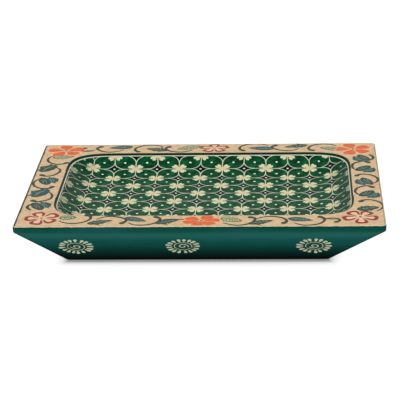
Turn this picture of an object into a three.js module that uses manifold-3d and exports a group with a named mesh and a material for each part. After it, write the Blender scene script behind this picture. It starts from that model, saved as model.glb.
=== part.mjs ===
// A small carved wooden tray with flaring sides and a shallow dished recess.
// Three boards are pegged and glued edge to edge, and the block is then carved as one:
// the flat faces of the sides, the upright edge of the rim and the dish all run across
// the two glue lines. A thin felt sheet under the base carries it on the table.
//
// Millimetres, +Z up. The origin is on the table under the middle of the rim,
// +X runs along the tray to its right-hand end and -Y is its front.

import * as THREE from "three";
import { mergeVertices } from "three/addons/utils/BufferGeometryUtils.js";
import Module from "manifold-3d";

const wasm = await Module();
wasm.setup();

// ---------------------------------------------------------------- driving dimensions

// The block over the rim, and how far each side leans in on its way down to the base.
const LENGTH = 250;
const WIDTH = 172;
const HEIGHT = 38.5;
const FLARE = { left: 31.5, right: 37.5, front: 32, back: 32 };

// The rim: an upright edge, a small round along its top, and slightly blunt corners.
const UPRIGHT_EDGE = 4.5;
const TOP_EDGE_ROUND = 0.6;
const CORNER_RADIUS = 3;
const BASE_CORNER_RADIUS = 2;

// The recess: the rim left standing round it, its depth, and how far in from its edge
// the curved wall runs before it meets the flat floor.
const RIM = { left: 22.4, right: 20, front: 20.8, back: 20.8 };
const DISH_DEPTH = 12;
const WALL_RUN = 38;
// A power of 2 makes each corner of the recess a circular arc, a higher one squares it.
const CORNER_POWER = 3.4;
// The wall rises from the floor as this power of the way out to the edge.
const WALL_POWER = 3;
// The share of the wall's run, next to the floor, that stays level.
const LEVEL_SHARE = 0.1;

// The middle board, and how far it lies behind the middle of the tray; the front and
// back boards reach from it to the rim. A line of glue parts each pair.
const MIDDLE_BOARD = 56;
const MIDDLE_BOARD_SHIFT = 2;
const GLUE_LINE = 0.3;

// Two bamboo pegs across each glue line, halfway up the wood under the recess.
const PEG_DIAMETER = 8;
const PEG_LENGTH = 30;
const PEG_CHAMFER = 1;
const PEG_FROM_MIDDLE = 58;
const PEG_CLEARANCE = 0.3;

// The felt sheet glued under the base.
const FELT_THICKNESS = 1.2;
const FELT_INSET = 3;

// How far a cutting box stands clear of the wood that it doesn't cut.
const SPARE = 1;

// How finely the curves are cut.
const CORNER_STEPS = 4;
const DISH_CORNER_STEPS = 14;
const WALL_STEPS = 9;
const PEG_SIDES = 24;

// ---------------------------------------------------------------- closed meshes

/** A three.js geometry as a solid that can be cut and joined. */
function solidOf(geometry) {
  const bare = geometry.clone();
  for (const name of Object.keys(bare.attributes)) {
    if (name !== "position") bare.deleteAttribute(name);
  }
  const merged = mergeVertices(bare, 1e-4);
  return new wasm.Manifold(
    new wasm.Mesh({
      numProp: 3,
      vertProperties: Float32Array.from(merged.attributes.position.array),
      triVerts: Uint32Array.from(merged.index.array),
    }),
  );
}

/** A solid back as a flat-shaded three.js geometry. */
function geometryOf(solid) {
  const { vertProperties, triVerts } = solid.getMesh();
  const geometry = new THREE.BufferGeometry();
  geometry.setAttribute("position", new THREE.BufferAttribute(vertProperties, 3));
  geometry.setIndex(new THREE.BufferAttribute(triVerts, 1));
  const flat = geometry.toNonIndexed();
  flat.computeVertexNormals();
  return flat;
}

/** A closed skin over rings of points, from the lowest ring to the highest, each the
 * same count of [x, y, z] going anticlockwise seen from above, with both ends capped. */
function loft(rings) {
  const count = rings[0].length;
  const triangles = [];
  for (let r = 0; r + 1 < rings.length; r++) {
    for (let i = 0; i < count; i++) {
      const a = r * count + i;
      const b = r * count + ((i + 1) % count);
      triangles.push(a, b, b + count, a, b + count, a + count);
    }
  }
  const top = (rings.length - 1) * count;
  for (let i = 1; i + 1 < count; i++) {
    triangles.push(0, i + 1, i);
    triangles.push(top, top + i, top + i + 1);
  }
  const geometry = new THREE.BufferGeometry();
  geometry.setAttribute("position", new THREE.Float32BufferAttribute(rings.flat(2), 3));
  geometry.setIndex(triangles);
  return geometry;
}

/** Points round a rectangle whose corners are arcs of a power curve, as [x, y, z]. */
function ring({ left, right, front, back }, z, corner, steps, power = 2) {
  const points = [];
  const quarters = [
    [right - corner, back - corner, 1, 1],
    [left + corner, back - corner, -1, 1],
    [left + corner, front + corner, -1, -1],
    [right - corner, front + corner, 1, -1],
  ];
  quarters.forEach(([x, y, alongX, alongY], quarter) => {
    for (let step = 0; step <= steps; step++) {
      const share = quarter % 2 ? steps - step : step;
      const angle = (share / steps) * (Math.PI / 2);
      const across = Math.abs(Math.cos(angle)) ** (2 / power);
      const along = Math.abs(Math.sin(angle)) ** (2 / power);
      points.push([x + alongX * corner * across, y + alongY * corner * along, z]);
    }
  });
  return points;
}

/** A rectangle with each side moved in by its own amount. */
function inset(rectangle, by) {
  return {
    left: rectangle.left + by.left,
    right: rectangle.right - by.right,
    front: rectangle.front + by.front,
    back: rectangle.back - by.back,
  };
}

/** The same amount on all four sides. */
function allRound(amount) {
  return { left: amount, right: amount, front: amount, back: amount };
}

// ---------------------------------------------------------------- the carved block

const rimOutline = { left: -LENGTH / 2, right: LENGTH / 2, front: -WIDTH / 2, back: WIDTH / 2 };
const baseOutline = inset(rimOutline, FLARE);
const recessEdge = inset(rimOutline, RIM);
const woodBottom = FELT_THICKNESS;

/** The outside of the block, before the recess is cut. */
function block() {
  const softened = inset(rimOutline, allRound(TOP_EDGE_ROUND));
  const softCorner = CORNER_RADIUS - TOP_EDGE_ROUND;
  return loft([
    ring(baseOutline, woodBottom, BASE_CORNER_RADIUS, CORNER_STEPS),
    ring(rimOutline, HEIGHT - UPRIGHT_EDGE, CORNER_RADIUS, CORNER_STEPS),
    ring(rimOutline, HEIGHT - TOP_EDGE_ROUND, CORNER_RADIUS, CORNER_STEPS),
    ring(softened, HEIGHT, softCorner, CORNER_STEPS),
  ]);
}

/** The space of the recess, carried on a little above the rim so that it cuts clean. */
function recess() {
  const rings = [];
  for (let step = 0; step <= WALL_STEPS + 1; step++) {
    const out = LEVEL_SHARE + (1 - LEVEL_SHARE) * (step / WALL_STEPS);
    const rise = (step / WALL_STEPS) ** WALL_POWER;
    const outline = inset(recessEdge, allRound(WALL_RUN * (1 - out)));
    const z = HEIGHT - DISH_DEPTH * (1 - rise);
    rings.push(ring(outline, z, WALL_RUN * out, DISH_CORNER_STEPS, CORNER_POWER));
  }
  return loft(rings);
}

/** A box from corner to corner. */
function box(low, high) {
  const size = low.map((value, i) => high[i] - value);
  const middle = low.map((value, i) => (high[i] + value) / 2);
  return new THREE.BoxGeometry(...size).translate(...middle);
}

/** A chamfered peg along +Y, centred on the origin, with its skin moved out by spare. */
function peg(spare = 0) {
  const radius = PEG_DIAMETER / 2 + spare;
  const half = PEG_LENGTH / 2 + spare;
  const profile = [
    [0, -half],
    [radius - PEG_CHAMFER, -half],
    [radius, -half + PEG_CHAMFER],
    [radius, half - PEG_CHAMFER],
    [radius - PEG_CHAMFER, half],
    [0, half],
  ];
  return new THREE.LatheGeometry(
    profile.map(([x, y]) => new THREE.Vector2(x, y)),
    PEG_SIDES,
  );
}

const frontGlueLine = MIDDLE_BOARD_SHIFT - MIDDLE_BOARD / 2;
const backGlueLine = MIDDLE_BOARD_SHIFT + MIDDLE_BOARD / 2;
const pegHeight = (woodBottom + HEIGHT - DISH_DEPTH) / 2;

const pegPlaces = {
  front_left_peg: [-PEG_FROM_MIDDLE, frontGlueLine, pegHeight],
  front_right_peg: [PEG_FROM_MIDDLE, frontGlueLine, pegHeight],
  back_left_peg: [-PEG_FROM_MIDDLE, backGlueLine, pegHeight],
  back_right_peg: [PEG_FROM_MIDDLE, backGlueLine, pegHeight],
};

let carved = solidOf(block()).subtract(solidOf(recess()));
for (const place of Object.values(pegPlaces)) {
  carved = carved.subtract(solidOf(peg(PEG_CLEARANCE).translate(...place)));
}

/** The stretch of the carved block between two lines across it, less half a glue line. */
function board(front, back) {
  const low = [rimOutline.left - SPARE, front + GLUE_LINE / 2, 0];
  const high = [rimOutline.right + SPARE, back - GLUE_LINE / 2, HEIGHT + SPARE];
  return geometryOf(carved.intersect(solidOf(box(low, high))));
}

/** The felt, cut a little smaller than the base. */
function felt() {
  const outline = inset(baseOutline, allRound(FELT_INSET));
  return loft([
    ring(outline, 0, BASE_CORNER_RADIUS, CORNER_STEPS),
    ring(outline, FELT_THICKNESS, BASE_CORNER_RADIUS, CORNER_STEPS),
  ]).toNonIndexed();
}

// ---------------------------------------------------------------- materials and assembly

const dyedWood = new THREE.MeshStandardMaterial({ color: 0x0f5343, roughness: 0.35, metalness: 0 });
const bamboo = new THREE.MeshStandardMaterial({ color: 0xcdb27a, roughness: 0.7, metalness: 0 });
const blackFelt = new THREE.MeshStandardMaterial({ color: 0x15171a, roughness: 0.95, metalness: 0 });

const tray = new THREE.Group();

/** Adds one named piece to the tray. */
function add(name, geometry, material, place = [0, 0, 0]) {
  const mesh = new THREE.Mesh(geometry, material);
  mesh.name = name;
  mesh.position.set(...place);
  tray.add(mesh);
}

add("front_board", board(rimOutline.front - SPARE, frontGlueLine), dyedWood);
add("middle_board", board(frontGlueLine, backGlueLine), dyedWood);
add("back_board", board(backGlueLine, rimOutline.back + SPARE), dyedWood);
for (const [name, place] of Object.entries(pegPlaces)) {
  add(name, peg(), bamboo, place);
}
add("base_felt", felt(), blackFelt);

export default tray;
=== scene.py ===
"""A small carved wooden tray, wax-resist dyed, hand painted and lacquered, in a plain studio.

Three boards are pegged, glued and carved as one block with a dished recess. The recess is
dyed over a waxed lattice of ovals, flowers and stars, the pale rim carries a painted vine with
leaves and flowers, and the dark sides carry waxed suns. Sizes are in millimetres and the
frame is in metres; +X runs along the tray to its right-hand end and -Y is its front.
"""

import logging
import math
import random
from collections import defaultdict
from collections.abc import Callable, Sequence
from dataclasses import dataclass, field
from enum import Enum

import bmesh
import bpy
from mathutils import Matrix, Vector


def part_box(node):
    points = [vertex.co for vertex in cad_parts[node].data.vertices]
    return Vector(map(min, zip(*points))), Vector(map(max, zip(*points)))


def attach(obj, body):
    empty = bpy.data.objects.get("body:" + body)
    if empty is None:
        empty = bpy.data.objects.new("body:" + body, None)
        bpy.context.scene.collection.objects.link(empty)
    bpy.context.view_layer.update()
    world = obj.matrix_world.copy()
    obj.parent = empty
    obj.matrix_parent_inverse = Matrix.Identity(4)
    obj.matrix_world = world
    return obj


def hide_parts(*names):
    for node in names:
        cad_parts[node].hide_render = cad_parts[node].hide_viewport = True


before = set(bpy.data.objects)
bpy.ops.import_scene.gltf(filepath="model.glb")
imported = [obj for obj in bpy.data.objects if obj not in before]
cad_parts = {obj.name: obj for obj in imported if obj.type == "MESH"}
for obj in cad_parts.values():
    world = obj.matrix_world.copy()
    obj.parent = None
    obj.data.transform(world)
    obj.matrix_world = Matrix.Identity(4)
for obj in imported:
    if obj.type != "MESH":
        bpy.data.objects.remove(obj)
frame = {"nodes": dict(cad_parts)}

MM = 0.001
PIECE_BODY = "root"
# How far the felt starts inside the base's edge.
FELT_INSET = 3.0

log = logging.getLogger("tray")

Point = tuple[float, float]
Outline = list[Point]
Stops = Sequence[tuple[float, str]]
Socket = bpy.types.NodeSocket
Tree = bpy.types.NodeTree
Thing = bpy.types.Object
Material = bpy.types.Material


# ------------------------------------------------------------------ shader helpers


def linear(code: str) -> tuple[float, float, float, float]:
    """Turns an sRGB hex colour to linear light.

    Args:
        code: six hexadecimal digits, red first.

    Returns:
        The colour as linear red, green, blue and a full alpha.
    """
    parts = [int(code[place : place + 2], 16) / 255 for place in (0, 2, 4)]
    light = [part / 12.92 if part <= 0.04045 else ((part + 0.055) / 1.055) ** 2.4 for part in parts]
    return (*light, 1.0)


def node(
    tree: Tree, kind: str, inputs: dict | None = None, stops: Stops = (), **settings: object
) -> bpy.types.Node:
    """Adds one node with its settings and links.

    Args:
        tree: the shader tree that gets it.
        kind: the node's type.
        inputs: for each input, by name or place, an output or a field to link, an sRGB hex
            colour, or a value to set.
        stops: for a colour ramp, places from 0 to 1 with an sRGB hex colour each.
        settings: the node's own properties.

    Returns:
        The new node.
    """
    made = tree.nodes.new(kind)
    for name, value in settings.items():
        setattr(made, name, value)
    for name, value in (inputs or {}).items():
        if isinstance(value, Field):
            value = value.socket
        if isinstance(value, Socket):
            tree.links.new(value, made.inputs[name])
        else:
            made.inputs[name].default_value = linear(value) if isinstance(value, str) else value
    if stops:
        bands = made.color_ramp.elements
        while len(bands) < len(stops):
            bands.new(0.5)
        for band, (place, code) in zip(bands, stops):
            band.position = place
            band.color = linear(code)
    return made


class Field:
    """A number that varies over a surface: one output of a shader tree, with arithmetic."""

    def __init__(self, tree: Tree, socket: Socket) -> None:
        """Keeps the tree and the output."""
        self.tree = tree
        self.socket = socket

    def then(self, operation: str, *others: object, clamp: bool = False) -> "Field":
        """Carries the number through one arithmetic step.

        Args:
            operation: the step's name.
            others: up to two more numbers or fields.
            clamp: whether the result is held between 0 and 1.

        Returns:
            The result as a new field.
        """
        inputs = dict(enumerate([self, *others]))
        made = node(self.tree, "ShaderNodeMath", inputs, operation=operation, use_clamp=clamp)
        return Field(self.tree, made.outputs[0])

    def __add__(self, other: object) -> "Field":
        """The sum."""
        return self.then("ADD", other)

    def __sub__(self, other: object) -> "Field":
        """The difference."""
        return self.then("SUBTRACT", other)

    def __rsub__(self, other: float) -> "Field":
        """A plain number less the field."""
        return self * -1.0 + other

    def __mul__(self, other: object) -> "Field":
        """The product."""
        return self.then("MULTIPLY", other)

    def __truediv__(self, other: object) -> "Field":
        """The quotient."""
        return self.then("DIVIDE", other)

    def below(self, limit: float, soft: float = 0.14) -> "Field":
        """1 where the number is under a limit and 0 over it, with a soft step between."""
        return self.then("MULTIPLY_ADD", -1 / soft, limit / soft + 0.5, clamp=True)

    def above(self, limit: float, soft: float = 0.14) -> "Field":
        """1 where the number is over a limit and 0 under it, with a soft step between."""
        return self.then("MULTIPLY_ADD", 1 / soft, 0.5 - limit / soft, clamp=True)


def own_place(tree: Tree, axis: int) -> Field:
    """A surface point's own X, Y or Z, in millimetres."""
    place = node(tree, "ShaderNodeTexCoord").outputs["Object"]
    return Field(tree, node(tree, "ShaderNodeSeparateXYZ", {0: place}).outputs[axis]) / MM


@dataclass
class Drawing:
    """What a finish draws on a surface: a ground, a relief and the coats over the ground.

    A coat is the share of the surface that it covers, from 0 to 1, and its colour.
    """

    ground: Socket
    relief: Field
    coats: Sequence[tuple[Field, object]] = ()
    roughness: Field | None = None


@dataclass(frozen=True, kw_only=True)
class Finish:
    """What every finish here shares: its name and how its surface throws light back.

    Lacquer and glue-bound dye have an index of about 1.5; the roughness is what is left
    after brushing and a light rub down. The relief is a share of its depth in millimetres.
    """

    name: str
    roughness: float = 0.42
    ior: float = 1.5
    specular: float = 0.1
    sheen: float = 0.0
    relief: float = 0.1
    relief_depth: float = 0.2

    def make(self) -> Material:
        """Lays the coats in order over the ground and gives them one shader.

        Returns:
            The material.
        """
        material = bpy.data.materials.new(self.name)
        material.use_nodes = True
        tree = material.node_tree
        tree.nodes.clear()
        drawing = self.draw(tree)
        colour = drawing.ground
        for share, coat in drawing.coats:
            inputs = {0: share, 6: colour, 7: coat}
            colour = node(tree, "ShaderNodeMix", inputs, data_type="RGBA").outputs[2]
        inputs = {
            "Height": drawing.relief,
            "Strength": self.relief,
            "Distance": self.relief_depth * MM,
        }
        bump = node(tree, "ShaderNodeBump", inputs)
        sockets = {
            "Base Color": colour,
            "Roughness": drawing.roughness or self.roughness,
            "IOR": self.ior,
            "Specular IOR Level": self.specular,
            "Sheen Weight": self.sheen,
            "Normal": bump.outputs[0],
        }
        shader = node(tree, "ShaderNodeBsdfPrincipled", sockets)
        node(tree, "ShaderNodeOutputMaterial", {"Surface": shader.outputs[0]})
        return material

    def draw(self, tree: Tree) -> Drawing:
        """Draws on the surface; each finish has its own way."""
        raise NotImplementedError

    def grain(self, tree: Tree, along: float, across: float, detail: float = 3.0) -> Field:
        """Noise drawn out along the tray, as wood grain and brush strokes are.

        Args:
            tree: the tree that gets the nodes.
            along: length of one streak in millimetres.
            across: width of one streak in millimetres.
            detail: how many finer layers are added.

        Returns:
            The noise, from 0 to 1.
        """
        place = node(tree, "ShaderNodeTexCoord").outputs["Object"]
        scale = (1 / (along * MM), 1 / (across * MM), 1 / (across * MM))
        stretched = node(tree, "ShaderNodeMapping", {"Vector": place, "Scale": scale})
        inputs = {"Vector": stretched.outputs[0], "Scale": 1.0, "Detail": detail}
        return Field(tree, node(tree, "ShaderNodeTexNoise", inputs).outputs[0])


# ------------------------------------------------------------------ finishes


@dataclass(frozen=True, kw_only=True)
class CreamRim(Finish):
    """Albesia wood under a cream stain and clear lacquer, index 1.5, grain 26 by 0.9 mm.

    To the eye: a warm, slightly mottled cream, with short faint grain and small pink spots, dyed along
    its left edge, and with painted shade along its right and back arrises.
    """

    half_length: float
    half_width: float
    stops: Stops = ((0.3, "B99A70"), (0.5, "CDB088"), (0.72, "DBC39B"))
    blush: str = "CF9F7C"
    dye: str = "12382D"
    shadow: str = "7C6A50"
    lap: float = 1.7
    relief: float = 0.12
    grain_size: Point = (26.0, 0.9)
    grain_share: float = 0.25
    mottle_size: Point = (3.2, 2.6)
    spot_size: Point = (9.0, 6.5)
    ragged_size: Point = (7.0, 5.0)
    ragged_by: float = 0.6

    def draw(self, tree: Tree) -> Drawing:
        """Stains the wood, marks its spots, dyes its left edge and paints shade along its right and
        back edges.
        """
        mottle = self.grain(tree, *self.mottle_size, detail=5.0)
        grain = self.grain(tree, *self.grain_size)
        both = mottle * (1 - self.grain_share) + grain * self.grain_share
        ground = node(tree, "ShaderNodeValToRGB", {0: both}, stops=self.stops).outputs[0]
        spots = self.grain(tree, *self.spot_size, detail=5.0).above(0.58, soft=0.12)
        ragged = self.grain(tree, *self.ragged_size) * (2 * self.ragged_by) - self.ragged_by
        x, y = own_place(tree, 0), own_place(tree, 1)
        from_left = x + self.half_length + ragged
        from_right = self.half_length - x + ragged
        from_back = self.half_width - y + ragged
        # Painted shade along the right and back arrises, laid in the shadow colour.
        painted_arris_light = from_right.then("MINIMUM", from_back).below(self.lap * 0.7, soft=0.5)
        coats = (
            (spots * 0.4, self.blush),
            (painted_arris_light * 0.8, self.shadow),
            (from_left.below(self.lap, soft=0.4), self.dye),
        )
        return Drawing(ground, grain, coats)


@dataclass(frozen=True, kw_only=True)
class DyedSideWithPaintedShade(Finish):
    """Wood dyed deep green in a bath and lacquered, index 1.5, streaks 60 by 3 mm.

    To the eye: blue-green streaks below the rim over a deep green that is painted darker towards the
    base, to near black, as painted shade, with a painted sheen just below the upright band, and a cream
    line along the upper arris that is the rim's cream running over it and a painted highlight there.
    """

    top: float = 38.4
    # Colour by height over the green dye: the darkening to near black at the base is painted shade, and
    # the lighter stops from 0.77 to 0.85 are a painted sheen.
    stops: Stops = (
        (0.0, "010505"),
        (0.08, "010808"),
        (0.22, "001C18"),
        (0.39, "00302A"),
        (0.51, "003D36"),
        (0.66, "04453D"),
        (0.77, "16524A"),
        (0.85, "165146"),
        (0.9, "0D463C"),
        (1.0, "083D33"),
    )
    streak: str = "1F4F5C"
    streak_share: float = 0.45
    streaks_from: float = 20.0
    # Cream along the upper arris from this height up: the rim's cream running over the arris, and a
    # painted highlight there.
    bare: str = "DCC49C"
    cream_line_from: float = 38.1
    ragged_by: float = 0.25
    brush_size: Point = (60.0, 3.0)
    cloud_size: Point = (22.0, 16.0)
    ragged_size: Point = (3.0, 1.5)

    def draw(self, tree: Tree) -> Drawing:
        """Colours the side by its height, with painted shade towards the base and a painted sheen below
        the band, streaks it and paints its upper arris cream with a painted highlight.
        """
        height = own_place(tree, 2)
        inputs = {0: height / self.top}
        ground = node(tree, "ShaderNodeValToRGB", inputs, stops=self.stops).outputs[0]
        brushed = self.grain(tree, *self.brush_size, detail=4.0)
        cloudy = self.grain(tree, *self.cloud_size, detail=2.0)
        streaks = brushed.above(0.52, soft=0.3) * cloudy.above(0.45, soft=0.4)
        lit = streaks * self.streak_share * height.above(self.streaks_from, soft=18.0)
        # The cream line along the upper arris is partly the rim's cream and partly a painted highlight.
        ragged = self.grain(tree, *self.ragged_size) * (2 * self.ragged_by)
        painted_arris_light = height - (ragged + (self.cream_line_from - self.ragged_by))
        coats = ((lit, self.streak), (painted_arris_light.above(0.0, soft=0.12), self.bare))
        return Drawing(ground, brushed, coats)


@dataclass(frozen=True, kw_only=True)
class WaxedLattice(Finish):
    """The recess: wood dyed green around a lattice drawn in wax, under lacquer, index 1.5.

    To the eye: deep mottled green ovals, each with a light dot, between fine cream lines
    that meet in four-lobed flowers and open round small dark stars. A petal is stated by
    how far out its middle lies, its half length and its half width.
    """

    relief: float = 0.35
    relief_depth: float = 1.0
    unrolled: str = "unrolled"
    edge: str = "below_edge"
    pitch: float = 16.13
    origin: Point = (2.73, 10.4)
    middle: Point = (5.5, 2.0)
    line: float = 0.3
    star_reach: float = 9.2
    star_power: float = 2.25
    star_dot: float = 0.8
    oval_dot: float = 0.88
    petal: tuple = (2.6, 2.5, 1.35)
    petal_tip: tuple = (4.5, 1.75, 1.2)
    tip_spread: float = 1.15
    heart_reach: float = 3.2
    heart_share: float = 0.65
    border: float = 1.9
    border_line: float = 2.6
    shake: float = 0.9
    shake_size: float = 9.0
    mottle_size: float = 5.0
    greens: Stops = ((0.3, "012814"), (0.48, "024022"), (0.72, "0A6336"))
    star_dye: str = "06150E"
    wax: str = "CDD6BC"
    dots: str = "E0EADA"
    flower: str = "D2D6B0"
    heart: str = "DBB081"
    border_dye: str = "062A1D"
    # Painted shade over the recess's two end walls: its colour, where it starts, how far it grows and
    # how strong it gets.
    end_shade_colour: str = "0C2A1E"
    end_starts: float = 84.0
    end_width: float = 18.0
    end_share: float = 0.45

    def draw(self, tree: Tree) -> Drawing:
        """Dyes the recess green round the waxed lattice, and darkens its two ends as painted shade."""
        flat = node(tree, "ShaderNodeUVMap", uv_map=self.unrolled).outputs[0]
        x, y, flower = self.cells(tree, flat)
        side = self.from_line(x, y, flower)
        line = side.then("ABSOLUTE").below(self.line)
        half = self.pitch / 2
        star_dot = (x * x + y * y).then("SQRT").below(self.star_dot) * (1.0 - flower)
        to_oval = (x - half) * (x - half) + (y - half) * (y - half)
        dots = star_dot.then("MAXIMUM", to_oval.then("SQRT").below(self.oval_dot))
        out = (x + y) * math.sqrt(0.5)
        lobes = self.lobes(out, (x - y) * math.sqrt(0.5)) * flower
        heart = out.below(self.heart_reach, soft=3.0) * flower * self.heart_share
        inputs = {0: heart, 6: self.flower, 7: self.heart}
        petals = node(tree, "ShaderNodeMix", inputs, data_type="RGBA").outputs[2]

        inputs = {"Vector": flat, "Scale": 1 / self.mottle_size, "Detail": 5.0}
        mottle = Field(tree, node(tree, "ShaderNodeTexNoise", inputs).outputs[0])
        ground = node(tree, "ShaderNodeValToRGB", {0: mottle}, stops=self.greens).outputs[0]
        along = Field(tree, node(tree, "ShaderNodeSeparateXYZ", {0: flat}).outputs[0])
        # The ends of the recess are darkened as painted shade.
        past = (along - self.origin[0]).then("ABSOLUTE") - self.end_starts
        painted_end_shade = past.then("DIVIDE", self.end_width, clamp=True) * self.end_share
        below = node(tree, "ShaderNodeAttribute", attribute_name=self.edge)
        depth = Field(tree, below.outputs[2])
        coats = (
            (side.below(-self.line), self.star_dye),
            (line, self.wax),
            (dots, self.dots),
            (lobes, petals),
            (painted_end_shade, self.end_shade_colour),
            (depth.below(self.border_line), self.wax),
            (depth.below(self.border), self.border_dye),
        )
        relief = line.then("MAXIMUM", dots).then("MAXIMUM", lobes) * 0.12 + mottle * 0.1
        return Drawing(ground, relief, coats, mottle * 0.2 + (self.roughness - 0.1))

    def cells(self, tree: Tree, flat: Socket) -> tuple[Field, Field, Field]:
        """Parts the unrolled recess into a square lattice that wanders as a hand does.

        Args:
            tree: the tree that gets the nodes.
            flat: the unrolled recess, in millimetres.

        Returns:
            How far a place lies across and along from the nearest crossing, in millimetres,
            and 1 where that crossing holds a flower or 0 where it holds a star.
        """
        inputs = {"Vector": flat, "Scale": 1 / self.shake_size, "Detail": 2.0}
        wander = node(tree, "ShaderNodeTexNoise", inputs)
        centred = node(tree, "ShaderNodeVectorMath", {0: wander.outputs[1], 1: (-0.5,) * 3})
        push = {0: centred.outputs[0], 1: (self.shake * 2,) * 3, 2: flat}
        shaken = node(tree, "ShaderNodeVectorMath", push, operation="MULTIPLY_ADD").outputs[0]
        axes = node(tree, "ShaderNodeSeparateXYZ", {0: shaken})
        column = (Field(tree, axes.outputs[0]) - self.origin[0]) / self.pitch + self.middle[0]
        row = (Field(tree, axes.outputs[1]) - self.origin[1]) / -self.pitch + self.middle[1]
        near_column, near_row = column.then("ROUND"), row.then("ROUND")
        x = (column - near_column).then("ABSOLUTE") * self.pitch
        y = (row - near_row).then("ABSOLUTE") * self.pitch
        return x, y, (near_column + near_row).then("FLOORED_MODULO", 2.0)

    def from_line(self, x: Field, y: Field, flower: Field) -> Field:
        """How far a place lies from a waxed line: over 0 in the ovals, under 0 in the stars.

        Args:
            x: how far it lies across from the nearest crossing.
            y: how far it lies along from it.
            flower: 1 where that crossing holds a flower.

        Returns:
            The distance in millimetres.
        """
        far, near = x.then("MAXIMUM", y), x.then("MINIMUM", y)
        from_star = far + flower * (far * -2.0 + self.pitch)
        to_far = (self.star_reach - from_star).then("MAXIMUM", 0.0)
        to_near = self.star_reach - near
        bow = to_far.then("POWER", self.star_power) + to_near.then("POWER", self.star_power)
        return self.star_reach - bow.then("POWER", 1 / self.star_power)

    def lobes(self, out: Field, off: Field) -> Field:
        """The petals of a flower, each an oval that parts into two at its tip.

        Args:
            out: how far a place lies out along the petal.
            off: how far it lies off the petal's middle.

        Returns:
            1 on the petals and 0 off them.
        """
        shapes = []
        tips = off.then("ABSOLUTE") - self.tip_spread
        for (middle, half_length, half_width), aside in ((self.petal, off), (self.petal_tip, tips)):
            stretch = (out - middle) / half_length
            spread = aside / half_width
            shapes.append((stretch * stretch + spread * spread).below(1.0, soft=0.25))
        return shapes[0].then("MAXIMUM", shapes[1])


@dataclass(frozen=True, kw_only=True)
class Grained(Finish):
    """Bare wood or bamboo with drawn-out grain, index 1.5, grain 40 by 1.2 mm.

    To the eye: two close tones in streaks along the piece.
    """

    stops: Stops = ((0.3, "B08E58"), (0.7, "D8BD8A"))
    streak_size: Point = (40.0, 1.2)
    detail: float = 4.0
    relief: float = 0.3
    relief_depth: float = 0.3

    def draw(self, tree: Tree) -> Drawing:
        """Lets the tones and the relief follow one noise."""
        grain = self.grain(tree, *self.streak_size, detail=self.detail)
        return Drawing(node(tree, "ShaderNodeValToRGB", {0: grain}, stops=self.stops).outputs[0], grain)


@dataclass(frozen=True, kw_only=True)
class WoolFelt(Grained):
    """Pressed black wool felt, index 1.5, fibres 1.4 by 0.35 mm.

    To the eye: a soft matt black with fine grey fibres and no highlight.
    """

    stops: Stops = ((0.35, "0B0C0E"), (0.7, "2A2B2E"))
    streak_size: Point = (1.4, 0.35)
    relief: float = 0.8
    roughness: float = 0.95
    specular: float = 0.2
    sheen: float = 0.15


@dataclass(frozen=True, kw_only=True)
class BrushedPaint(Grained):
    """Water-based craft paint put on by brush under the lacquer, index 1.5, marks 3.5 by 1.6 mm.

    To the eye: one colour that thins to a lighter tone where the brush ran dry.
    """

    streak_size: Point = (3.5, 1.6)
    detail: float = 3.0
    relief: float = 0.1
    relief_depth: float = 0.1


# ------------------------------------------------------------------ modelling helpers


def put_down() -> None:
    """Leaves edit mode and deselects everything."""
    if bpy.context.object and bpy.context.object.mode != "OBJECT":
        bpy.ops.object.mode_set(mode="OBJECT")
    bpy.ops.object.select_all(action="DESELECT")


def pick_up(*things: Thing) -> Thing:
    """Selects only these objects, the last one active, and returns it."""
    put_down()
    for thing in things:
        thing.select_set(True)
    bpy.context.view_layer.objects.active = things[-1]
    return things[-1]


def edit(thing: Thing) -> None:
    """Picks an object up in edit mode."""
    pick_up(thing)
    bpy.ops.object.mode_set(mode="EDIT")


def select_points(thing: Thing, wanted: Callable[[bmesh.types.BMVert], bool]) -> None:
    """Selects the vertices that a test picks, in edit mode.

    Args:
        thing: the object in edit mode.
        wanted: says whether a vertex is selected.
    """
    mesh = bmesh.from_edit_mesh(thing.data)
    for vertex in mesh.verts:
        vertex.select_set(False)
    mesh.select_flush(False)
    for vertex in mesh.verts:
        if wanted(vertex):
            vertex.select_set(True)
    mesh.select_flush(True)
    bmesh.update_edit_mesh(thing.data)


def select_open_edges(thing: Thing, height: float) -> None:
    """Selects the level edges at one height that lack a face, in edit mode.

    Args:
        thing: the object in edit mode.
        height: their height in metres.
    """
    select_points(thing, lambda vertex: False)
    mesh = bmesh.from_edit_mesh(thing.data)
    for edge in mesh.edges:
        level = all(abs(vertex.co.z - height) < 1e-6 for vertex in edge.verts)
        if level and len(edge.link_faces) < 2:
            edge.select_set(True)
    bmesh.update_edit_mesh(thing.data)


def ease_edges(turn: float, width: float, segments: int) -> None:
    """Rounds every edge of a closed mesh that turns sharply, in edit mode.

    Args:
        turn: the least turn that is rounded, in degrees.
        width: how far the round reaches, in millimetres.
        segments: how many faces it has.
    """
    bpy.ops.mesh.select_all(action="SELECT")
    bpy.ops.mesh.normals_make_consistent(inside=False)
    bpy.ops.mesh.select_all(action="DESELECT")
    bpy.ops.mesh.edges_select_sharp(sharpness=math.radians(turn))
    bpy.ops.mesh.bevel(offset=width * MM, segments=segments, profile=0.5, affect="EDGES")


def use_modifier(thing: Thing, kind: str, **settings: object) -> None:
    """Adds a modifier with its settings and applies it."""
    pick_up(thing)
    made = thing.modifiers.new(kind.title(), kind)
    for name, value in settings.items():
        setattr(made, name, value)
    bpy.ops.object.modifier_apply(modifier=made.name)


def smooth_faces(thing: Thing) -> None:
    """Shades an object smooth between its sharp edges and keeps its broad faces flat."""
    pick_up(thing)
    bpy.ops.object.shade_smooth_by_angle(angle=math.radians(30))
    use_modifier(thing, "WEIGHTED_NORMAL", weight=80, keep_sharp=True)


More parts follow.
